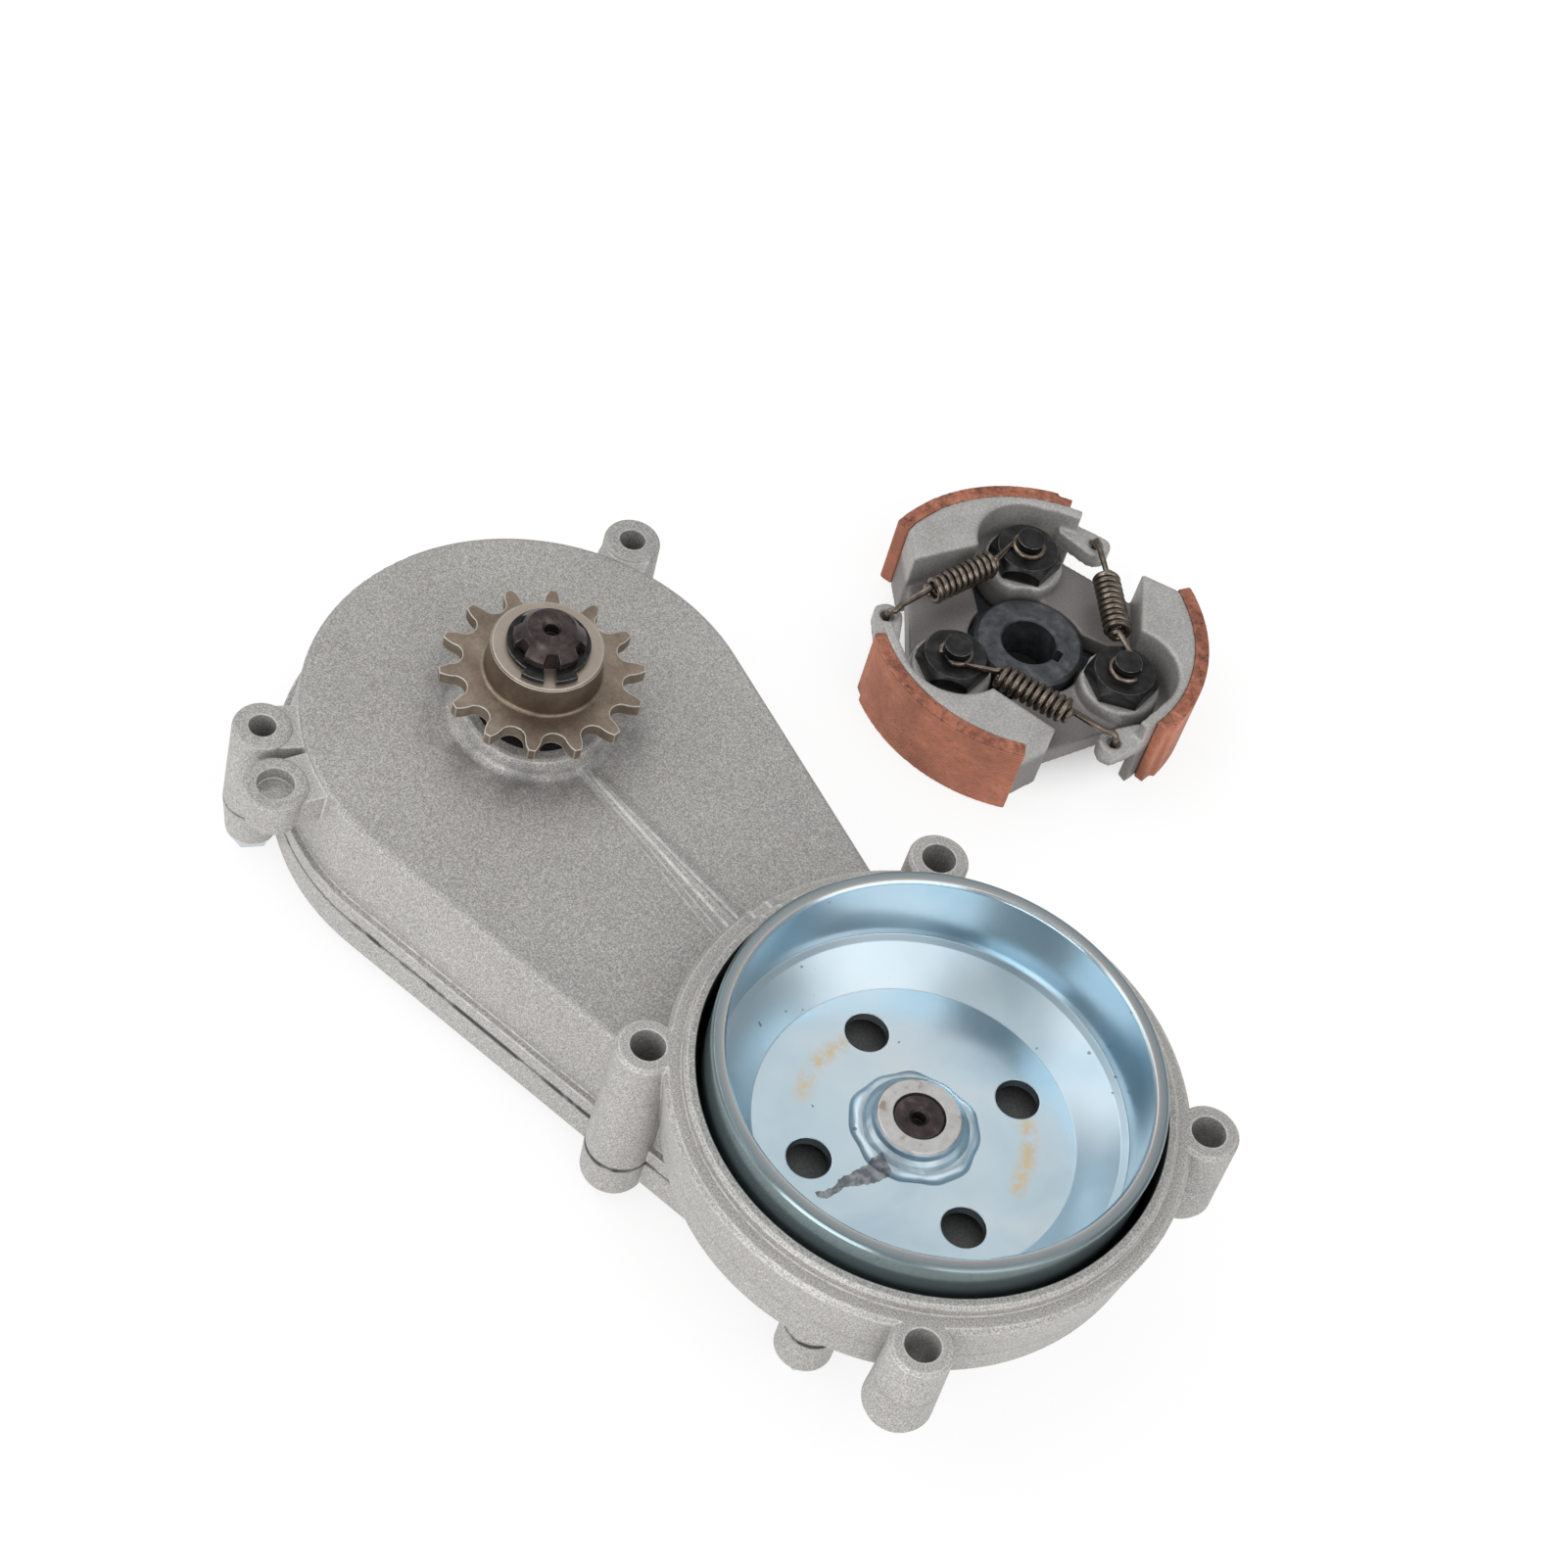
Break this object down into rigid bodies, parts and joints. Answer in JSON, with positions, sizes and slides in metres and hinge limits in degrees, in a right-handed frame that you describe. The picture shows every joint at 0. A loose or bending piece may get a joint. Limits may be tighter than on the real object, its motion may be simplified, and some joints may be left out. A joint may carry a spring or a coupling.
{
  "type": "reduction gearbox with centrifugal clutch",
  "caption": "Flat chain-reduction gearbox with a clutch drum in a round bowl, a splined output sprocket, and a three-shoe spring clutch lying beside it.",
  "frame": {"origin": "centre of the engine bolt circle, which is the clutch drum's axis, on the flange face that meets the engine", "axes": "+Z along the shafts, out of the open drum; +X from the output shaft towards the drum shaft"},
  "size_m": [0.2089, 0.2101, 0.0605],
  "materials": {
    "casing": "painted cast aluminium, fine silver grain",
    "gasket": "gasket paper",
    "zinc_screw": "bright zinc plate",
    "bearing_steel": "ground steel",
    "seal_rubber": "black nitrile",
    "chain_steel": "oiled steel",
    "drum_zinc": "blue-white bright zinc plate",
    "shaft_black": "blackened steel",
    "sprocket_bronze": "olive-bronze heat-treated steel",
    "shoe_cast": "die-cast, tumbled",
    "lining_copper": "sintered friction lining with fine turning grooves",
    "bolt_black": "black oxide, oiled",
    "hub_blue": "blue-black oxide",
    "spring_steel": "dark oil-tempered wire"
  },
  "bodies": {
    "casing": {"front_case": "casing", "rear_cover": "casing", "case_gasket": "gasket", "cover_screws": "zinc_screw", "dowel_sleeves": "bearing_steel", "output_oil_seal": "seal_rubber", "input_front_bearing_outer": "bearing_steel", "input_rear_bearing_outer": "bearing_steel", "output_front_bearing_outer": "bearing_steel", "output_rear_bearing_outer": "bearing_steel", "drive_chain": "chain_steel", "clutch_hub": "hub_blue", "pivot_bolts": "bolt_black", "shoe_spring_1": "spring_steel", "shoe_spring_2": "spring_steel", "shoe_spring_3": "spring_steel"},
    "drum": {"clutch_drum": "drum_zinc", "drum_hub": "drum_zinc", "input_shaft": "shaft_black", "drive_sprocket": "chain_steel", "input_front_bearing_inner": "bearing_steel", "input_rear_bearing_inner": "bearing_steel"},
    "output": {"output_shaft": "shaft_black", "driven_sprocket": "chain_steel", "front_sprocket": "sprocket_bronze", "sprocket_circlip": "bolt_black", "output_front_bearing_inner": "bearing_steel", "output_rear_bearing_inner": "bearing_steel"},
    "shoe_1": {"clutch_shoe_1": "shoe_cast", "shoe_lining_1": "lining_copper"},
    "shoe_2": {"clutch_shoe_2": "shoe_cast", "shoe_lining_2": "lining_copper"},
    "shoe_3": {"clutch_shoe_3": "shoe_cast", "shoe_lining_3": "lining_copper"}
  },
  "joints": [
    {"name": "drum_spin", "type": "hinge", "parent": "casing", "child": "drum", "pos_m": [0, 0, 0], "axis": [0, 0, 1], "continuous": true, "deforming": ["drive_chain"]},
    {"name": "output_spin", "type": "hinge", "parent": "casing", "child": "output", "pos_m": [-0.11166, 0, 0], "axis": [0, 0, 1], "continuous": true},
    {"name": "shoe_1_swing", "type": "hinge", "parent": "casing", "child": "shoe_1", "pos_m": [-0.097, 0.13015, -0.038], "axis": [0, 0, 1], "range_deg": [0, 3.5], "stiffness_Nm_per_rad": 1.2, "springref_deg": -2.86, "deforming": ["shoe_spring_3"]},
    {"name": "shoe_2_swing", "type": "hinge", "parent": "casing", "child": "shoe_2", "pos_m": [-0.08408, 0.09559, -0.038], "axis": [0, 0, 1], "range_deg": [0, 3.5], "stiffness_Nm_per_rad": 1.2, "springref_deg": -2.86, "deforming": ["shoe_spring_1"]},
    {"name": "shoe_3_swing", "type": "hinge", "parent": "casing", "child": "shoe_3", "pos_m": [-0.06061, 0.12406, -0.038], "axis": [0, 0, 1], "range_deg": [0, 3.5], "stiffness_Nm_per_rad": 1.2, "springref_deg": -2.86, "deforming": ["shoe_spring_2"]}
  ],
  "couplings": [
    {"joint": "output_spin", "follows": "drum_spin", "ratio": 0.33333}
  ]
}
